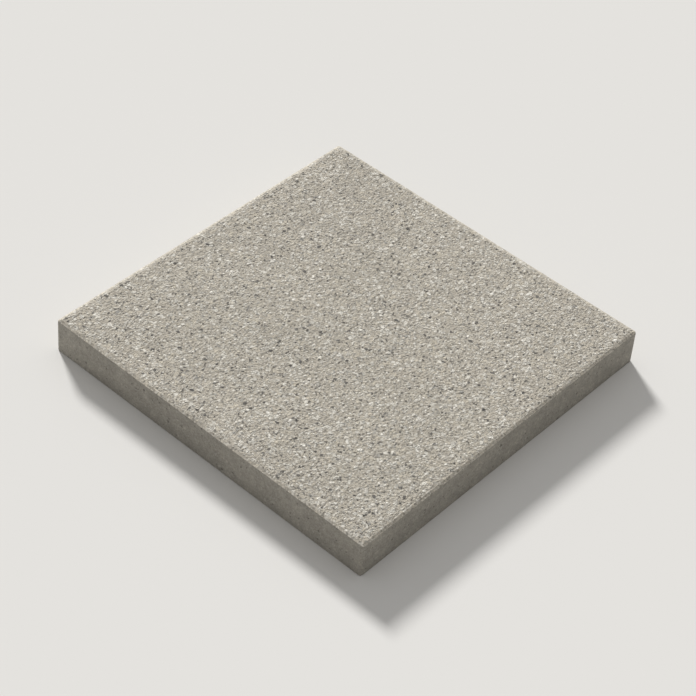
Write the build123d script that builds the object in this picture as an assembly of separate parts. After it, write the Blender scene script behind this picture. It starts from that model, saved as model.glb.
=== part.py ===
from build123d import *
import os

# Square paving slab, cast and pressed as one solid of dense concrete.
# Millimetres, +Z up, walking face up, origin at the centre of the underside.

# Laying
laying_module = 500.0       # one slab and one joint, joint centre to joint centre
joint_width = 5.0           # open joint between the edges of two walking faces

# Body
thickness = 50.0
draft_angle = 0.6           # degrees that each side leans in, going up to the walking face

# Edges
bevel_run = 3.0             # bevel round the walking face, measured across the face
bevel_drop = 2.0            # the same bevel, measured down the side
face_corner_radius = 0.5    # corners of the flat face inside the bevel, all but sharp
heel_radius = 1.0           # rounded edge round the underside

face_side = laying_module - joint_width
upright_radius = face_corner_radius + bevel_run
walking_plane = Plane.XY.offset(thickness)


def moulded_block():
    """Block as it leaves the mould, which opens towards the underside."""
    block = extrude(Rectangle(face_side, face_side), amount=thickness)
    sides = block.faces().group_by(Axis.Z)[1]
    drafted = draft(sides, walking_plane, draft_angle)
    uprights = drafted.edges().group_by(Axis.Z)[1]
    return fillet(uprights, upright_radius)


def bevelled(block):
    """Bevel all round the walking face, corners included."""
    walking_face = block.faces().sort_by(Axis.Z)[-1]
    rim = walking_face.outer_wire().edges()
    return chamfer(rim, bevel_run, bevel_drop, reference=walking_face)


def heeled(block):
    """Small round along the lower edge, where the mould box meets its press plate."""
    underside = block.faces().sort_by(Axis.Z)[0]
    rim = underside.outer_wire().edges()
    return fillet(rim, heel_radius)


def paving_slab():
    """The whole slab, finished from the mould's block inwards to its edges."""
    return heeled(bevelled(moulded_block()))


os.makedirs("parts", exist_ok=True)
export_step(paving_slab(), "parts/paving_slab.step")
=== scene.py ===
import bpy
import math
import numpy as np
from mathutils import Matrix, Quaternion, Vector


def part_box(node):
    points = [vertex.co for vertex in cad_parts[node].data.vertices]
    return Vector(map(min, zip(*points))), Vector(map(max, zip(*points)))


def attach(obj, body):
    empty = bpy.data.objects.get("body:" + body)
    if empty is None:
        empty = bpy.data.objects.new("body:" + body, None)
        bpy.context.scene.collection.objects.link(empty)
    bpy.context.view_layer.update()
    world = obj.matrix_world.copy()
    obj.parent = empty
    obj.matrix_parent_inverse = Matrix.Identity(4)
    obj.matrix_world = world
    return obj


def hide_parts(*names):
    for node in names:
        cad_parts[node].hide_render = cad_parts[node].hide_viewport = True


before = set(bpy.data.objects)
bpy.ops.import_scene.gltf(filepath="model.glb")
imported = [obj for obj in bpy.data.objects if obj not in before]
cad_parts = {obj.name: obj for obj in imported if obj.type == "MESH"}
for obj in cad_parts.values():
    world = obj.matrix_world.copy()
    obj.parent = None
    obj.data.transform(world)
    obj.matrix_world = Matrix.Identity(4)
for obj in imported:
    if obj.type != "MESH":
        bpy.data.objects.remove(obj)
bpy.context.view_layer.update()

# One square paving slab of pressed concrete, face up on a studio floor. Metres, +Z up.
mm = 0.001


def linear(hexColour):
    # sRGB hex value to the linear colour that the nodes work in
    levels = [int(hexColour[i:i + 2], 16) / 255 for i in (1, 3, 5)]
    return [c / 12.92 if c <= 0.04045 else ((c + 0.055) / 1.055) ** 2.4 for c in levels] + [1.0]


def addNode(tree, kind, sockets=None, stops=None, **settings):
    # one node with its settings; a socket takes a fixed value, another node or one of its outputs
    node = tree.nodes.new(kind)
    for name, value in settings.items():
        setattr(node, name, value)
    for name, value in (sockets or {}).items():
        if isinstance(value, bpy.types.Node):
            value = next(out for out in value.outputs if out.enabled)
        if isinstance(value, bpy.types.NodeSocket):
            tree.links.new(value, node.inputs[name])
        else:
            node.inputs[name].default_value = value
    for index, (position, hexColour) in enumerate(stops or ()):
        points = node.color_ramp.elements
        point = points[index] if index < 2 else points.new(position)     # a new ramp has two stops already
        point.position, point.color = position, linear(hexColour)
    return node


print("frame loaded")

# The concrete's stones and air holes. The relief and the colours share them, so both fall on the same ones
concreteMix = {
    "seed": 5,
    "seedStep": (0.731, 0.293, 0.517),  # how far one seed's part of the pattern is from the next one's
    "warp": 0.9 * mm,           # how far a chip's outline wanders from a flat-sided one
    "warpSize": 2.5 * mm,       # length of the bends in that outline
    "rim": (0.03, 0.14),        # a stone's colour comes in between these, in cells from the edge of its cell
    "shoulder": 0.38,           # and from here on its rounded top stands at full height
    # stones: size, share of the cells that show one, height of the bump that the blast leaves
    "sand": {"size": 1.6 * mm, "share": 0.60, "relief": 0.30 * mm},
    "gravel": {"size": 2.8 * mm, "share": 0.50, "relief": 0.60 * mm},
    "chips": {"size": 4.6 * mm, "share": 0.40, "relief": 0.0},      # these stand out in the mesh instead
    "poreSpacing": 11.0 * mm,
    "poreRadius": 2.2 * mm,
    "ior": 1.5,                 # of hardened cement and of quartz
}


def stonePlace(tree, place, seed, warp):
    # coordinates of this casting's stones: shifted by its seed, and bent so that no chip is flat-sided
    shift = addNode(tree, "ShaderNodeVectorMath",
                    {0: concreteMix["seedStep"], "Scale": seed}, operation="SCALE")
    moved = addNode(tree, "ShaderNodeVectorMath", {0: place, 1: shift}, operation="ADD")
    bend = addNode(tree, "ShaderNodeTexNoise",
                   {"Vector": moved, "Scale": 1 / concreteMix["warpSize"], "Detail": 1.0})
    centred = addNode(tree, "ShaderNodeVectorMath",
                      {0: bend.outputs["Color"], 1: (0.5, 0.5, 0.5)}, operation="SUBTRACT")
    step = addNode(tree, "ShaderNodeVectorMath", {0: centred, "Scale": warp}, operation="SCALE")
    return addNode(tree, "ShaderNodeVectorMath", {0: moved, 1: step}, operation="ADD")


def stones(tree, place, scale, share):
    # one size of stone: 1 in the cells that hold one and 0 in the rest; how far each point lies from the
    # edge of its cell; and random numbers for each stone
    cells = addNode(tree, "ShaderNodeTexVoronoi", {"Vector": place, "Scale": scale})
    inset = addNode(tree, "ShaderNodeTexVoronoi",
                    {"Vector": place, "Scale": scale}, feature="DISTANCE_TO_EDGE")
    lots = addNode(tree, "ShaderNodeSeparateXYZ", {0: cells.outputs["Color"]})
    shown = addNode(tree, "ShaderNodeMath", {0: lots.outputs["X"], 1: share}, operation="LESS_THAN")
    return shown, inset, lots.outputs


def rounded(tree, shown, inset, start, full):
    # on each stone that shows, a soft rise from 0 to 1 between two distances from the edge of its cell
    rise = addNode(tree, "ShaderNodeMapRange",
                   {"Value": inset, "From Min": start, "From Max": full}, interpolation_type="SMOOTHSTEP")
    return addNode(tree, "ShaderNodeMath", {0: shown, 1: rise}, operation="MULTIPLY")


def pores(tree, place, scale, reach):
    # round air holes, cut by the surface at any height, so each one opens to its own size; 1 at the middle
    holes = addNode(tree, "ShaderNodeTexVoronoi", {"Vector": place, "Scale": scale})
    return addNode(tree, "ShaderNodeMapRange",
                   {"Value": holes, "From Max": reach, "To Min": 1.0, "To Max": 0.0},
                   interpolation_type="SMOOTHSTEP")


cloudLevels = (0.25, 0.75)      # the tone swings from one end to the other between these levels of the noise


def cloudy(tree, light, body, clouds):
    # makes the tone uneven; each cloud has a size, and a swing to either side
    for size, swing in clouds:
        cloud = addNode(tree, "ShaderNodeTexNoise", {"Vector": body, "Scale": 1 / size, "Detail": 3.0})
        tone = addNode(tree, "ShaderNodeMapRange",
                       {"Value": cloud, "From Min": cloudLevels[0], "From Max": cloudLevels[1],
                        "To Min": 1 - swing, "To Max": 1 + swing})
        light = addNode(tree, "ShaderNodeMath", {0: light, 1: tone}, operation="MULTIPLY")
    return light


def newConcrete(name, roughness):
    # a material to be filled in, with places on the slab and places among its stones
    material = bpy.data.materials.new(name)
    material.use_nodes = True
    tree = material.node_tree
    shader = tree.nodes["Principled BSDF"]
    shader.inputs["Roughness"].default_value = roughness
    shader.inputs["IOR"].default_value = concreteMix["ior"]
    body = addNode(tree, "ShaderNodeTexCoord").outputs["Object"]
    return material, tree, body, stonePlace(tree, body, concreteMix["seed"], concreteMix["warp"])


def fillShader(tree, colour, light, height):
    # the colour, as light as its share of light says, and a height in metres as bump
    shader = tree.nodes["Principled BSDF"]
    toned = addNode(tree, "ShaderNodeVectorMath", {0: colour, "Scale": light}, operation="SCALE")
    tree.links.new(toned.outputs["Vector"], shader.inputs["Base Color"])
    bump = addNode(tree, "ShaderNodeBump", {"Height": height, "Distance": 1.0})
    tree.links.new(bump.outputs["Normal"], shader.inputs["Normal"])


blastedFinish = {
    "paste": "#c1b9aa",
    # place of each tint in the range of stones, the two ends first
    "stoneTints": ((0.0, "#403f3d"), (1.0, "#f0ece2"), (0.09, "#5b5956"), (0.13, "#a3a19b"),
                   (0.32, "#b8b0a3"), (0.55, "#cac1af"), (0.78, "#cfcbc1"), (0.92, "#e3ded2")),
    "bareness": 0.85,           # how far the blast has cleared the cement film off the stones
    "bevelBareness": 0.5,       # against that on the bevel, which the blast only brushes
    "bevelLift": 0.10,          # and the bevel is that much paler
    "liftShares": (0.2, 0.8),   # all of it up to this share of blast, and none from this one on
    "gritSize": 0.8 * mm,       # the finest roughness, all over
    "gritDepth": 0.10 * mm,
    "lumpSize": 3.0 * mm,       # uneven paste between and over the stones
    "lumpDepth": 2.4 * mm,
    "paintedHollowShade": 0.80,        # painted shade on the paste between the stones, against the stones' own tone
    "hollowDepth": 0.6,         # a stone is out of that shade from this share of its height on
    "dustAndPaintedShade": 0.62,          # painted shade in the lowest hollows, with the dust and damp that stay there
    "dustAndShadeLevels": (0.30, 0.47),     # all of that shade and dust up to this level of the lumps, and none from this one on
    "paintedPoreShade": 0.3,           # painted shade: how dark the bottom of an air hole is
    "clouds": ((80 * mm, 0.04), (25 * mm, 0.03), (0.9 * mm, 0.16)),   # size and swing of the uneven tone
    "roughness": 0.87,
}


def fineBlastedConcrete():
    # pressed concrete, blasted with fine shot: the cement skin is gone, so sand and crushed stone stand bare.
    # The eye sees a dry, matt, salt-and-pepper grain with small dark pits, and no gloss at all
    finish = blastedFinish
    material, tree, body, place = newConcrete("fineBlastedConcrete", finish["roughness"])
    blasted = addNode(tree, "ShaderNodeAttribute", attribute_name="blast").outputs["Fac"]
    cleared = addNode(tree, "ShaderNodeMapRange",
                      {"Value": blasted, "To Min": finish["bareness"] * finish["bevelBareness"],
                       "To Max": finish["bareness"]})

    # grit and lumps, then stones of each size, which lie over the smaller ones; a mix node's two colours
    # are its sockets 6 and 7
    grit = addNode(tree, "ShaderNodeTexNoise",
                   {"Vector": body, "Scale": 1 / finish["gritSize"], "Detail": 2.0})
    height = addNode(tree, "ShaderNodeMath", {0: grit, 1: finish["gritDepth"]}, operation="MULTIPLY")
    lumps = addNode(tree, "ShaderNodeTexNoise",
                    {"Vector": place, "Scale": 1 / finish["lumpSize"], "Detail": 2.0})
    height = addNode(tree, "ShaderNodeMath",
                     {0: lumps, 1: finish["lumpDepth"], 2: height}, operation="MULTIPLY_ADD")
    colour = linear(finish["paste"])
    standing = 0.0              # how far any stone stands out here, 0 to 1
    for stone in (concreteMix["sand"], concreteMix["gravel"], concreteMix["chips"]):
        shown, inset, lots = stones(tree, place, 1 / stone["size"], stone["share"])
        mask = rounded(tree, shown, inset, *concreteMix["rim"])
        bare = addNode(tree, "ShaderNodeMath", {0: mask, 1: cleared}, operation="MULTIPLY")
        tint = addNode(tree, "ShaderNodeValToRGB", {0: lots["Z"]}, stops=finish["stoneTints"])
        colour = addNode(tree, "ShaderNodeMix", {0: bare, 6: colour, 7: tint}, data_type="RGBA")
        dome = rounded(tree, shown, inset, 0.0, concreteMix["shoulder"])
        height = addNode(tree, "ShaderNodeMath",
                         {0: dome, 1: stone["relief"], 2: height}, operation="MULTIPLY_ADD")
        standing = addNode(tree, "ShaderNodeMath", {0: standing, 1: dome}, operation="MAXIMUM")

    # painted shade in the air holes, between the stones and in the lowest hollows, there with dust, and paler
    # on the bevel
    hole = pores(tree, place, 1 / concreteMix["poreSpacing"],
                 concreteMix["poreRadius"] / concreteMix["poreSpacing"])
    # painted shade at the bottom of each air hole
    paintedHoleShade = addNode(tree, "ShaderNodeMapRange",
                        {"Value": hole, "To Min": 1.0, "To Max": finish["paintedPoreShade"]})
    paintedHollowShade = addNode(tree, "ShaderNodeMapRange",
                          {"Value": standing, "From Max": finish["hollowDepth"],
                           "To Min": finish["paintedHollowShade"]})
    # painted shade, with dust, in the lowest hollows of the lumps
    dustAndPaintedShade = addNode(tree, "ShaderNodeMapRange",
                        {"Value": lumps, "From Min": finish["dustAndShadeLevels"][0],
                         "From Max": finish["dustAndShadeLevels"][1], "To Min": finish["dustAndPaintedShade"]},
                        interpolation_type="SMOOTHSTEP")
    lift = addNode(tree, "ShaderNodeMapRange",
                   {"Value": blasted, "From Min": finish["liftShares"][0],
                    "From Max": finish["liftShares"][1], "To Min": 1 + finish["bevelLift"], "To Max": 1.0})
    light = paintedHoleShade
    for shade in (paintedHollowShade, dustAndPaintedShade, lift):
        light = addNode(tree, "ShaderNodeMath", {0: light, 1: shade}, operation="MULTIPLY")
    light = cloudy(tree, light, body, finish["clouds"])

    height = addNode(tree, "ShaderNodeMath", {0: height, 1: blasted}, operation="MULTIPLY")
    fillShader(tree, colour, light, height)
    return material


castFinish = {
    "sideColour": "#9d988e",
    "sideGrain": 0.05 * mm,     # height of the sand under the skin
    "backColour": "#98948b",
    "backGrain": 0.40 * mm,     # and on the press plate's side, which comes out rougher
    "sandSize": 1.8 * mm,
    "sandSwing": 0.24,          # how far its tone swings
    "clouds": ((60 * mm, 0.10), (14 * mm, 0.09)),     # size and swing of the uneven tone
    "stoneShow": 0.15,          # how far the stones show through the cement skin
    "holes": ((9.0 * mm, 1.7 * mm), (21.0 * mm, 3.0 * mm)),   # spacing and radius of air against the mould
    "holeDepth": 1.0 * mm,
    "paintedHoleShade": 0.4,           # painted shade: how dark the bottom of an air hole is
    "dragSpacing": 3.0 * mm,    # lines that the mould leaves as the slab slides out of it
    "dragDepth": 0.12 * mm,
    "dragStretch": 0.06,        # scale of their pattern upwards, against across
    "roughness": 0.8,
}


def castConcrete(name, colour, grain, drag):
    # concrete as the steel mould leaves it: the cement skin is whole. The eye sees a plain, slightly cloudy
    # grey with fine sand just showing and small air holes, hardly less matt than the blasted face
    finish = castFinish
    material, tree, body, place = newConcrete(name, finish["roughness"])

    skin = linear(colour)
    for stone in (concreteMix["gravel"], concreteMix["chips"]):
        shown, inset, lots = stones(tree, place, 1 / stone["size"], stone["share"])
        mask = rounded(tree, shown, inset, *concreteMix["rim"])
        show = addNode(tree, "ShaderNodeMath", {0: mask, 1: finish["stoneShow"]}, operation="MULTIPLY")
        tint = addNode(tree, "ShaderNodeValToRGB", {0: lots["Z"]}, stops=blastedFinish["stoneTints"])
        skin = addNode(tree, "ShaderNodeMix", {0: show, 6: skin, 7: tint}, data_type="RGBA")

    hole = 0.0
    for spacing, radius in finish["holes"]:
        found = pores(tree, place, 1 / spacing, radius / spacing)
        hole = addNode(tree, "ShaderNodeMath", {0: hole, 1: found}, operation="MAXIMUM")
    # painted shade at the bottom of the air holes
    light = addNode(tree, "ShaderNodeMapRange", {"Value": hole, "To Min": 1.0, "To Max": finish["paintedHoleShade"]})
    light = cloudy(tree, light, body, finish["clouds"] + ((finish["sandSize"], finish["sandSwing"]),))

    sand = addNode(tree, "ShaderNodeTexNoise",
                   {"Vector": body, "Scale": 1 / finish["sandSize"], "Detail": 2.0})
    height = addNode(tree, "ShaderNodeMath", {0: sand, 1: grain}, operation="MULTIPLY")
    height = addNode(tree, "ShaderNodeMath",
                     {0: hole, 1: -finish["holeDepth"], 2: height}, operation="MULTIPLY_ADD")
    if drag:
        upright = addNode(tree, "ShaderNodeMapping",
                          {"Vector": body, "Scale": (1.0, 1.0, finish["dragStretch"])})
        lines = addNode(tree, "ShaderNodeTexNoise",
                        {"Vector": upright, "Scale": 1 / finish["dragSpacing"], "Detail": 2.0})
        height = addNode(tree, "ShaderNodeMath", {0: lines, 1: drag, 2: height}, operation="MULTIPLY_ADD")
    fillShader(tree, skin, light, height)
    return material


faceZone, sideZone, backZone = 0, 1, 2      # walking face and bevel, sides, underside
zoneFinishes = [        # in that order
    fineBlastedConcrete(),
    castConcrete("mouldedConcreteSides", castFinish["sideColour"], castFinish["sideGrain"],
                 castFinish["dragDepth"]),
    castConcrete("pressedConcreteBack", castFinish["backColour"], castFinish["backGrain"], 0.0),
]
print("finishes made")

# The slab's blank: the same form as the CAD solid, in cells small enough to carry the blasted relief
slabShape = {
    "draft": 0.6,               # degrees
    "bevelRun": 3.0 * mm,
    "bevelDrop": 2.0 * mm,
    "faceCorner": 0.5 * mm,
    "heel": 1.0 * mm,
    "faceCells": 260,           # across the walking face, an even number
    "rimStrip": 0.6 * mm,       # narrow cells that keep the edge of the face crisp
    "bevelSteps": (0.0, 0.15, 0.5, 0.85, 1.0),      # rings across the bevel, from its rim to its foot
    "plainSide": 5.0 * mm,      # below the foot of the bevel: from here down the cells are twice as wide
    "sideRows": 12,
    "heelSteps": (30, 60, 90),  # rings round the heel, degrees
}

# What each place takes of the relief below: of the blasted grain, of the face's lowered level and of the
# wear along edges
reliefShares = {
    "bevelRim": (0.30, 1.0, 1.0),
    "bevelFoot": (0.10, 0.5, 1.0),
    "belowFoot": ((0.5 * mm, (0.0, 0.35, 0.6)), (2.0 * mm, (0.0, 0.1, 0.1))),   # each with its distance down
    "side": (0.0, 0.0, 0.0),
    "heel": (0.0, 0.0, 0.3),
    "back": (0.0, 0.0, 0.0),
    # rows of the face's grid from the rim inwards, the last one for all the rest
    "faceRows": ((0.45, 1.0, 0.5), (0.7, 1.0, 0.2), (1.0, 1.0, 0.0)),
}


def slabRings(low, high):
    # outlines of the slab from the rim of its face outwards and down: half side, corner radius, height,
    # shares of the relief, and where its points stand along a side
    thickness = high.z - low.z
    lean = math.tan(math.radians(slabShape["draft"]))
    run, drop, heel = slabShape["bevelRun"], slabShape["bevelDrop"], slabShape["heel"]
    corner = slabShape["faceCorner"]
    upright = corner + run
    faceHalf = high.x - (thickness - heel) * lean
    flatHalf = faceHalf - run
    bevelFoot = thickness - drop

    strip = slabShape["rimStrip"] / (2 * flatHalf)
    fine = np.concatenate([[0.0], np.linspace(strip, 1 - strip, slabShape["faceCells"] - 1), [1.0]])
    coarse = fine[::2]

    def sideHalf(z):
        return faceHalf + (thickness - z) * lean

    rings = []
    for t in slabShape["bevelSteps"]:
        half = flatHalf + t * (sideHalf(bevelFoot) - flatHalf)
        share = [(1 - t) * a + t * b for a, b in zip(reliefShares["bevelRim"], reliefShares["bevelFoot"])]
        rings.append((half, corner + t * run, thickness - t * drop, share, fine))
    for below, share in reliefShares["belowFoot"]:
        rings.append((sideHalf(bevelFoot - below), upright, bevelFoot - below, share, fine))
    for z in np.linspace(bevelFoot - slabShape["plainSide"], heel, slabShape["sideRows"]):
        rings.append((sideHalf(z), upright, z, reliefShares["side"], coarse))
    for angle in map(math.radians, slabShape["heelSteps"]):
        pull = heel * (1 - math.cos(angle))
        z = heel * (1 - math.sin(angle))
        rings.append((sideHalf(heel) - pull, upright - pull, z, reliefShares["heel"], coarse))
    return rings


def ringPoints(half, radius, fractions):
    # one closed ring: a square with rounded corners, from corner to corner anticlockwise
    flat = half - radius
    arc = math.pi * radius / 4
    length = 2 * flat + 2 * arc
    points = []
    for turn in range(4):
        c, s = math.cos(turn * math.pi / 2), math.sin(turn * math.pi / 2)
        for t in fractions[:-1] * length:
            if t < arc:
                angle = -3 * math.pi / 4 + t / radius
                x, y = -flat + radius * math.cos(angle), -flat + radius * math.sin(angle)
            elif t <= length - arc:
                x, y = -flat + t - arc, -half
            else:
                angle = -math.pi / 2 + (t - length + arc) / radius
                x, y = flat + radius * math.cos(angle), -flat + radius * math.sin(angle)
            points.append((c * x - s * y, s * x + c * y))
    return points


def gridRing(cells):
    # the border of a grid of points, in the order of ringPoints
    return ([(i, 0) for i in range(cells)] + [(cells, j) for j in range(cells)]
            + [(cells - i, cells) for i in range(cells)] + [(0, cells - j) for j in range(cells)])


def slabBlank():
    verts, shares, faces, zones = [], [], [], []

    def addRing(half, radius, z, share, fractions):
        first = len(verts)
        verts.extend((x, y, z) for x, y in ringPoints(half, radius, fractions))
        shares.extend([share] * (len(verts) - first))
        return list(range(first, len(verts)))

    def addGrid(border, ring, rows, zone):
        # fills a ring with a square grid; rows are the shares of its rows, from the ring inwards
        half, _, z, _, fractions = ring
        n = len(fractions) - 1
        ids = np.zeros((n + 1, n + 1), int)
        for (i, j), vertex in zip(gridRing(n), border):
            ids[i, j] = vertex
        for i in range(1, n):
            for j in range(1, n):
                ids[i, j] = len(verts)
                verts.append((half * (2 * fractions[i] - 1), half * (2 * fractions[j] - 1), z))
                shares.append(rows[min(i, j, n - i, n - j, len(rows)) - 1])
        for i in range(n):
            for j in range(n):
                quad = [ids[i, j], ids[i + 1, j], ids[i + 1, j + 1], ids[i, j + 1]]
                faces.append(quad[::-1] if zone == backZone else quad)      # the underside faces down
                zones.append(zone)

    def joinRings(upper, lower, zone):
        # a band of cells, or of triangles where the lower ring has half as many points
        step = len(upper) // len(lower)
        for k in range(len(lower)):
            a, b = lower[k], lower[(k + 1) % len(lower)]
            top = [upper[(step * k + m) % len(upper)] for m in range(step + 1)]
            if step == 1:
                faces.append([a, b, top[1], top[0]])
                zones.append(zone)
            else:
                faces.extend([[a, top[1], top[0]], [a, b, top[1]], [b, top[2], top[1]]])
                zones.extend([zone] * 3)

    rings = slabRings(*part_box("paving_slab"))
    bands = [addRing(*ring) for ring in rings]
    bevelBands = len(slabShape["bevelSteps"]) - 1
    addGrid(bands[0], rings[0], reliefShares["faceRows"], faceZone)
    for k in range(len(bands) - 1):
        joinRings(bands[k], bands[k + 1], faceZone if k < bevelBands else sideZone)
    addGrid(bands[-1], rings[-1], [reliefShares["back"]], backZone)

    mesh = bpy.data.meshes.new("pavingSlab")
    mesh.from_pydata(verts, [], faces)
    for name, values in zip(("blast", "sink", "arris"), zip(*shares)):
        mesh.attributes.new(name, "FLOAT", "POINT").data.foreach_set("value", np.array(values, np.float32))
    mesh.attributes.new("zone", "INT", "FACE").data.foreach_set("value", np.array(zones, np.int32))
    for finish in zoneFinishes:
        mesh.materials.append(finish)
    mesh.shade_smooth()
    slab = bpy.data.objects.new("pavingSlab", mesh)
    bpy.context.scene.collection.objects.link(slab)
    return slab


slab = slabBlank()
print("blank:", len(slab.data.vertices), "points")

# Relief, cut into the blank from its nominal surface inwards, so the slab never outgrows its size
slabRelief = {
    "Seed": concreteMix["seed"],
    "Chip Size": concreteMix["chips"]["size"],
    "Chip Share": concreteMix["chips"]["share"],
    "Chip Warp": concreteMix["warp"],
    "Chip Depth": 0.15 * mm,    # the lowest chip, below the highest
    "Paste Depth": 0.60 * mm,   # cement between the chips, cut back by the blast
    "Pore Spacing": concreteMix["poreSpacing"],
    "Pore Radius": concreteMix["poreRadius"],
    "Pore Depth": 0.9 * mm,
    "Ripple Size": 3.8 * mm,
    "Ripple Depth": 0.85 * mm,
    "Swell Size": 22.0 * mm,
    "Swell Depth": 0.10 * mm,
    "Crown": 0.35 * mm,         # taken off, so that the highest grains stand at the nominal face
    "Blast Level": 0.70 * mm,   # how far the blast has lowered the face and its rim, taken all over
    "Arris Size": 9.0 * mm,
    "Arris Depth": 0.28 * mm,   # deepest wear along the edges
    "Cast Size": 8.0 * mm,      # unevenness of the sides and the underside
    "Side Depth": 0.12 * mm,
    "Back Depth": 0.35 * mm,
}
waveLevels = (0.3, 0.7)         # levels of the noise at which a ripple or swell starts and reaches its depth
wearLevels = (0.45, 0.8)        # and the wear along the edges
undersideTurn = (-0.3, -0.9)    # Z of the normal where the sides end and where the underside is reached


def reliefTree():
    tree = bpy.data.node_groups.new("blastedRelief", "GeometryNodeTree")
    tree.interface.new_socket("Geometry", in_out="INPUT", socket_type="NodeSocketGeometry")
    for name, value in slabRelief.items():
        kind = "NodeSocketInt" if isinstance(value, int) else "NodeSocketFloat"
        tree.interface.new_socket(name, in_out="INPUT", socket_type=kind).default_value = value
    tree.interface.new_socket("Geometry", in_out="OUTPUT", socket_type="NodeSocketGeometry")
    sizes = addNode(tree, "NodeGroupInput").outputs
    spot = addNode(tree, "GeometryNodeInputPosition")
    place = stonePlace(tree, spot, sizes["Seed"], sizes["Chip Warp"])

    # walking face: chips stand up out of the paste, each at its own height
    chipScale = addNode(tree, "ShaderNodeMath", {0: 1.0, 1: sizes["Chip Size"]}, operation="DIVIDE")
    shown, inset, lots = stones(tree, place, chipScale, sizes["Chip Share"])
    dome = rounded(tree, shown, inset, 0.0, concreteMix["shoulder"])
    chipDrop = addNode(tree, "ShaderNodeMath", {0: lots["Y"], 1: sizes["Chip Depth"]}, operation="MULTIPLY")
    cut = addNode(tree, "ShaderNodeMapRange",
                  {"Value": dome, "To Min": sizes["Paste Depth"], "To Max": chipDrop})

    # air holes
    poreScale = addNode(tree, "ShaderNodeMath", {0: 1.0, 1: sizes["Pore Spacing"]}, operation="DIVIDE")
    reach = addNode(tree, "ShaderNodeMath", {0: sizes["Pore Radius"], 1: poreScale}, operation="MULTIPLY")
    hole = pores(tree, place, poreScale, reach)
    cut = addNode(tree, "ShaderNodeMath", {0: hole, 1: sizes["Pore Depth"], 2: cut}, operation="MULTIPLY_ADD")

    # ripples left by the blast, and the swell left by the press
    for name in ("Ripple", "Swell"):
        scale = addNode(tree, "ShaderNodeMath", {0: 1.0, 1: sizes[name + " Size"]}, operation="DIVIDE")
        wave = addNode(tree, "ShaderNodeTexNoise", {"Vector": place, "Scale": scale, "Detail": 1.0})
        dip = addNode(tree, "ShaderNodeMapRange",
                      {"Value": wave, "From Min": waveLevels[0], "From Max": waveLevels[1],
                       "To Max": sizes[name + " Depth"]})
        cut = addNode(tree, "ShaderNodeMath", {0: dip, 1: cut}, operation="ADD")
    cut = addNode(tree, "ShaderNodeMath", {0: cut, 1: sizes["Crown"]}, operation="SUBTRACT")
    cut = addNode(tree, "ShaderNodeMath", {0: cut, 1: 0.0}, operation="MAXIMUM")

    # over the rim the face's level carries on, while its roughness fades
    blast = addNode(tree, "GeometryNodeInputNamedAttribute", {"Name": "blast"}, data_type="FLOAT")
    sink = addNode(tree, "GeometryNodeInputNamedAttribute", {"Name": "sink"}, data_type="FLOAT")
    rough = addNode(tree, "ShaderNodeMath", {0: cut, 1: sizes["Blast Level"]}, operation="SUBTRACT")
    sunk = addNode(tree, "ShaderNodeMath", {0: sink, 1: sizes["Blast Level"]}, operation="MULTIPLY")
    cut = addNode(tree, "ShaderNodeMath", {0: rough, 1: blast, 2: sunk}, operation="MULTIPLY_ADD")

    # wear along the edges, only where its noise runs high
    arris = addNode(tree, "GeometryNodeInputNamedAttribute", {"Name": "arris"}, data_type="FLOAT")
    arrisScale = addNode(tree, "ShaderNodeMath", {0: 1.0, 1: sizes["Arris Size"]}, operation="DIVIDE")
    nicks = addNode(tree, "ShaderNodeTexNoise", {"Vector": place, "Scale": arrisScale, "Detail": 3.0})
    worn = addNode(tree, "ShaderNodeMapRange",
                   {"Value": nicks, "From Min": wearLevels[0], "From Max": wearLevels[1],
                    "To Max": sizes["Arris Depth"]})
    cut = addNode(tree, "ShaderNodeMath", {0: worn, 1: arris, 2: cut}, operation="MULTIPLY_ADD")

    # sides and underside, as the mould and the press plate leave them
    normal = addNode(tree, "GeometryNodeInputNormal").outputs["Normal"]
    facing = addNode(tree, "ShaderNodeSeparateXYZ", {0: normal})
    castDepth = addNode(tree, "ShaderNodeMapRange",
                        {"Value": facing.outputs["Z"], "From Min": undersideTurn[0],
                         "From Max": undersideTurn[1], "To Min": sizes["Side Depth"],
                         "To Max": sizes["Back Depth"]})
    castScale = addNode(tree, "ShaderNodeMath", {0: 1.0, 1: sizes["Cast Size"]}, operation="DIVIDE")
    cast = addNode(tree, "ShaderNodeTexNoise", {"Vector": place, "Scale": castScale, "Detail": 3.0})
    unblasted = addNode(tree, "ShaderNodeMath", {0: 1.0, 1: blast}, operation="SUBTRACT")
    castShare = addNode(tree, "ShaderNodeMath", {0: cast, 1: unblasted}, operation="MULTIPLY")
    cut = addNode(tree, "ShaderNodeMath", {0: castShare, 1: castDepth, 2: cut}, operation="MULTIPLY_ADD")

    inwards = addNode(tree, "ShaderNodeMath", {0: cut, 1: -1.0}, operation="MULTIPLY")
    offset = addNode(tree, "ShaderNodeVectorMath", {0: normal, "Scale": inwards}, operation="SCALE")
    shaped = addNode(tree, "GeometryNodeSetPosition", {"Geometry": sizes["Geometry"], "Offset": offset})
    shaped = addNode(tree, "GeometryNodeRealizeInstances", {"Geometry": shaped})

    # each zone's finish; a comparison's whole numbers are its sockets 2 and 3
    zone = addNode(tree, "GeometryNodeInputNamedAttribute", {"Name": "zone"}, data_type="INT")
    for number, finish in enumerate(zoneFinishes):
        inZone = addNode(tree, "FunctionNodeCompare", {2: zone, 3: number},
                         data_type="INT", operation="EQUAL")
        shaped = addNode(tree, "GeometryNodeSetMaterial",
                         {"Geometry": shaped, "Selection": inZone, "Material": finish})
    addNode(tree, "NodeGroupOutput", {"Geometry": shaped})
    return tree


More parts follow.
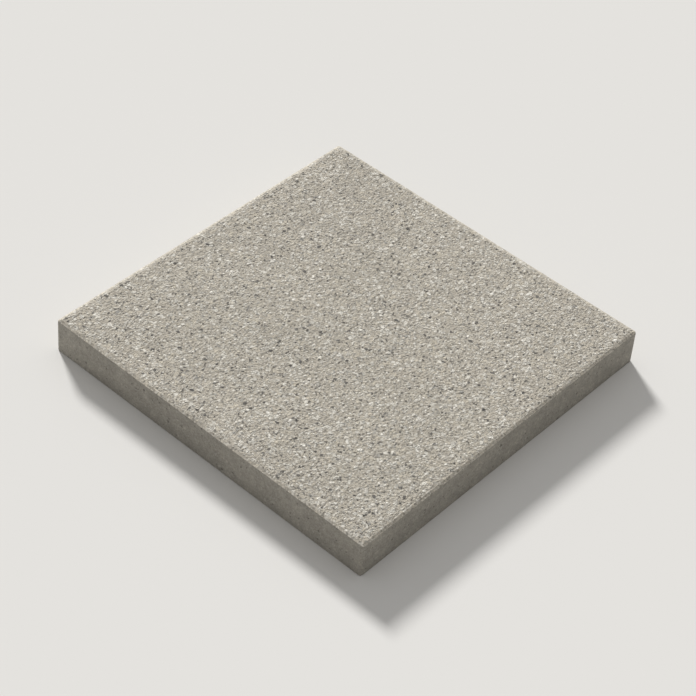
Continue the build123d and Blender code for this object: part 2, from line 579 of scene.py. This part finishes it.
def cutRelief(slab):
    tree = reliefTree()
    relief = slab.modifiers.new("blastedRelief", "NODES")
    relief.node_group = tree
    for socket in tree.interface.items_tree:
        if socket.in_out == "INPUT" and socket.name in slabRelief:
            relief[socket.identifier] = slabRelief[socket.name]
    shaped = slab.evaluated_get(bpy.context.evaluated_depsgraph_get())
    plain = bpy.data.meshes.new_from_object(shaped)
    slab.modifiers.remove(relief)
    slab.data = plain
    slab.data.name = "pavingSlab"


cutRelief(slab)
print("relief cut:", sum(len(face.vertices) - 2 for face in slab.data.polygons), "triangles")

# Studio
studio = {
    "floorColour": "#e4e2de",
    "floorSize": 60.0,
    "ambient": 0.42,            # share that the softbox overhead and the backdrop give
    "horizon": 0.25,            # their strength low down
    "zenith": 1.375,            # and overhead; horizon + 2/3 (zenith - horizon) is 1
    "keyLevel": 0.58,           # share of the light on a level surface that the key gives
    "keyHeight": 30.0,          # degrees above the floor
    "keyTurn": 25.5,            # degrees from +Y towards +X that the key comes from
    "keySoftness": 10.0,        # degrees across
    "eyeFromSlab": (-1.427, -1.156, 1.709),   # the lens, measured from the centre of the walking face
    "aimHeight": 0.012,         # of the point above the floor's middle that the lens is turned to
    "roll": 5.25,               # degrees
    "lens": 108.0,              # focal length in millimetres
}


def makeFloor():
    half = studio["floorSize"] / 2
    corners = [(-half, -half, 0), (half, -half, 0), (half, half, 0), (-half, half, 0)]
    mesh = bpy.data.meshes.new("floor")
    mesh.from_pydata(corners, [], [(0, 1, 2, 3)])
    floor = bpy.data.objects.new("floor", mesh)
    bpy.context.scene.collection.objects.link(floor)
    paint = bpy.data.materials.new("mattStudioPaint")
    paint.use_nodes = True
    shader = paint.node_tree.nodes["Principled BSDF"]
    shader.inputs["Base Color"].default_value = linear(studio["floorColour"])
    shader.inputs["Specular IOR Level"].default_value = 0.0     # so that floor and backdrop meet with no line
    mesh.materials.append(paint)
    return floor


def makeKey():
    key = bpy.data.lights.new("key", "SUN")
    height, turn = math.radians(studio["keyHeight"]), math.radians(studio["keyTurn"])
    key.energy = studio["keyLevel"] * math.pi / math.sin(height)
    key.angle = math.radians(studio["keySoftness"])
    lamp = bpy.data.objects.new("key", key)
    level = math.cos(height)
    towards = Vector((math.sin(turn) * level, math.cos(turn) * level, math.sin(height)))
    lamp.rotation_mode = "QUATERNION"
    lamp.rotation_quaternion = towards.to_track_quat("Z", "Y")
    bpy.context.scene.collection.objects.link(lamp)


def makeWorld():
    # a softbox overhead lights the slab; the camera and reflections see a backdrop in the floor's colour
    world = bpy.data.worlds.new("studio")
    bpy.context.scene.world = world
    world.use_nodes = True
    tree = world.node_tree
    tree.nodes.clear()
    rays = addNode(tree, "ShaderNodeLightPath").outputs
    seen = addNode(tree, "ShaderNodeMath",
                   {0: rays["Is Camera Ray"], 1: rays["Is Glossy Ray"]}, operation="MAXIMUM")
    seen = addNode(tree, "ShaderNodeMath", {0: seen, 1: rays["Is Transmission Ray"]}, operation="MAXIMUM")
    direction = addNode(tree, "ShaderNodeTexCoord").outputs["Generated"]
    way = addNode(tree, "ShaderNodeSeparateXYZ", {0: direction})
    softbox = addNode(tree, "ShaderNodeMapRange",
                      {"Value": way.outputs["Z"], "To Min": studio["ambient"] * studio["horizon"],
                       "To Max": studio["ambient"] * studio["zenith"]})
    light = addNode(tree, "ShaderNodeBackground", {"Color": (1, 1, 1, 1), "Strength": softbox})
    plain = addNode(tree, "ShaderNodeBackground", {"Color": linear(studio["floorColour"]), "Strength": 1.0})
    mixed = addNode(tree, "ShaderNodeMixShader", {0: seen, 1: light, 2: plain})
    addNode(tree, "ShaderNodeOutputWorld", {"Surface": mixed})


def makeCamera():
    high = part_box("paving_slab")[1]
    eye = Vector(studio["eyeFromSlab"]) + Vector((0, 0, high.z))
    ahead = (Vector((0, 0, studio["aimHeight"])) - eye).normalized()
    lens = bpy.data.cameras.new("camera")
    lens.lens = studio["lens"]
    camera = bpy.data.objects.new("camera", lens)
    camera.location = eye
    camera.rotation_mode = "QUATERNION"
    roll = Quaternion((0, 0, 1), math.radians(studio["roll"]))
    camera.rotation_quaternion = ahead.to_track_quat("-Z", "Y") @ roll
    bpy.context.scene.collection.objects.link(camera)
    bpy.context.scene.camera = camera


floor = makeFloor()
makeKey()
makeWorld()
makeCamera()
bpy.context.scene.view_settings.view_transform = "Standard"
print("studio set")

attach(slab, "root")
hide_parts("paving_slab")
